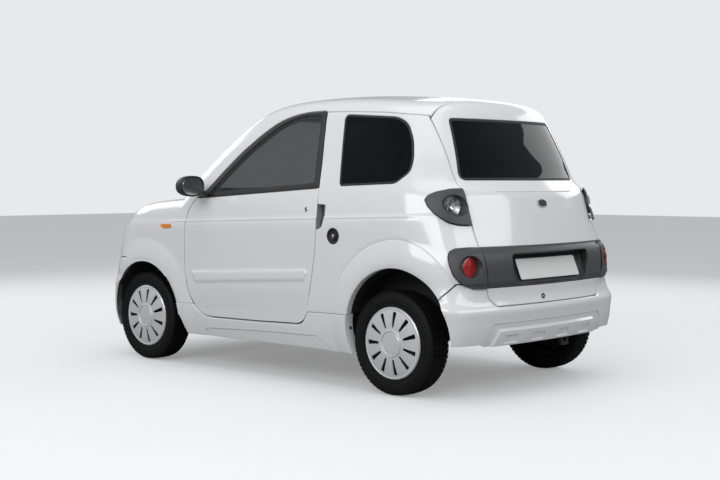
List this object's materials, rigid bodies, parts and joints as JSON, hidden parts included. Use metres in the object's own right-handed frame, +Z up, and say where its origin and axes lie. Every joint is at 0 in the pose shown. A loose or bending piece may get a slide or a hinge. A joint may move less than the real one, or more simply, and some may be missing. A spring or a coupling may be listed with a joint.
{
  "type": "microcar",
  "caption": "Small two-seat three-door microcar with hinged doors, bonnet and tailgate, steered front wheels and free-rolling tyres.",
  "frame": {"origin": "on the ground under the middle of the body's length and width", "axes": "+X forward, +Y to the car's left, +Z up"},
  "size_m": [2.981, 1.8702, 1.5558],
  "materials": {
    "body_paint": "gloss white",
    "window_glass": "tinted",
    "lamp_housing": "clear over dark",
    "tyre_rubber": "matt",
    "wheel_silver": "silver grey paint",
    "dark_plastic": "grained",
    "cabin_plastic": "grained",
    "seat_cloth": "woven",
    "chassis_steel": "black wax",
    "plate_white": "blank reflective white"
  },
  "bodies": {
    "root": {"roof": "body_paint", "cowl": "dark_plastic", "quarter_left": "body_paint", "quarter_right": "body_paint", "sill_left": "body_paint", "sill_right": "body_paint", "wing_left": "body_paint", "wing_right": "body_paint", "front_bumper": "body_paint", "rear_bumper": "body_paint", "windscreen": "window_glass", "quarter_glass": "window_glass", "upper_tail_lamps": "lamp_housing", "lower_tail_lamps": "lamp_housing", "headlamps": "lamp_housing", "grille": "dark_plastic", "floor_pan": "chassis_steel", "wheel_houses": "dark_plastic", "engine": "chassis_steel", "dashboard": "cabin_plastic", "seat_left": "seat_cloth", "seat_right": "seat_cloth", "front_suspension": "chassis_steel", "rear_axle": "chassis_steel"},
    "door_left": {"door_left": "body_paint", "door_glass_left": "window_glass", "mirror_left": "dark_plastic"},
    "door_right": {"door_right": "body_paint", "door_glass_right": "window_glass", "mirror_right": "dark_plastic"},
    "tailgate": {"tailgate": "body_paint", "tailgate_glass": "window_glass", "plate_panel": "dark_plastic", "rear_plate": "plate_white"},
    "bonnet": {"bonnet": "body_paint"},
    "steering_wheel": {"steering_wheel": "cabin_plastic"},
    "knuckle_left": {"knuckle_left": "chassis_steel"},
    "knuckle_right": {"knuckle_right": "chassis_steel"},
    "front_left_wheel": {"front_left_tyre": "tyre_rubber", "front_left_wheel": "wheel_silver"},
    "front_right_wheel": {"front_right_tyre": "tyre_rubber", "front_right_wheel": "wheel_silver"},
    "rear_left_wheel": {"rear_left_tyre": "tyre_rubber", "rear_left_wheel": "wheel_silver"},
    "rear_right_wheel": {"rear_right_tyre": "tyre_rubber", "rear_right_wheel": "wheel_silver"}
  },
  "joints": [
    {"name": "door_left_hinge", "type": "hinge", "parent": "root", "child": "door_left", "pos_m": [0.5535, 0.7375, 0.64], "axis": [0, 0.03, -0.9996], "range_deg": [0, 65]},
    {"name": "door_right_hinge", "type": "hinge", "parent": "root", "child": "door_right", "pos_m": [0.5535, -0.7375, 0.64], "axis": [0, 0.03, 0.9996], "range_deg": [0, 65]},
    {"name": "tailgate_hinge", "type": "hinge", "parent": "root", "child": "tailgate", "pos_m": [-1.0785, 0, 1.512], "axis": [0, 1, 0], "range_deg": [0, 78]},
    {"name": "bonnet_hinge", "type": "hinge", "parent": "root", "child": "bonnet", "pos_m": [0.7075, 0, 0.98], "axis": [0, -1, 0], "range_deg": [0, 50]},
    {"name": "steer_left", "type": "hinge", "parent": "root", "child": "knuckle_left", "pos_m": [0.9975, 0.628, 0.2665], "axis": [0, 0, 1], "range_deg": [-30, 30]},
    {"name": "steer_right", "type": "hinge", "parent": "root", "child": "knuckle_right", "pos_m": [0.9975, -0.628, 0.2665], "axis": [0, 0, 1], "range_deg": [-30, 30]},
    {"name": "steering_wheel_turn", "type": "hinge", "parent": "root", "child": "steering_wheel", "pos_m": [0.3695, 0.27, 0.8], "axis": [-0.9135, 0, 0.4067], "range_deg": [-480, 480]},
    {"name": "front_left_spin", "type": "hinge", "parent": "knuckle_left", "child": "front_left_wheel", "pos_m": [0.9975, 0.64, 0.2665], "axis": [0, 1, 0], "continuous": true},
    {"name": "rear_left_spin", "type": "hinge", "parent": "root", "child": "rear_left_wheel", "pos_m": [-0.9925, 0.64, 0.2665], "axis": [0, 1, 0], "continuous": true},
    {"name": "front_right_spin", "type": "hinge", "parent": "knuckle_right", "child": "front_right_wheel", "pos_m": [0.9975, -0.64, 0.2665], "axis": [0, 1, 0], "continuous": true},
    {"name": "rear_right_spin", "type": "hinge", "parent": "root", "child": "rear_right_wheel", "pos_m": [-0.9925, -0.64, 0.2665], "axis": [0, 1, 0], "continuous": true}
  ],
  "couplings": [
    {"joint": "steer_right", "follows": "steer_left", "ratio": 1},
    {"joint": "steering_wheel_turn", "follows": "steer_left", "ratio": 16}
  ]
}
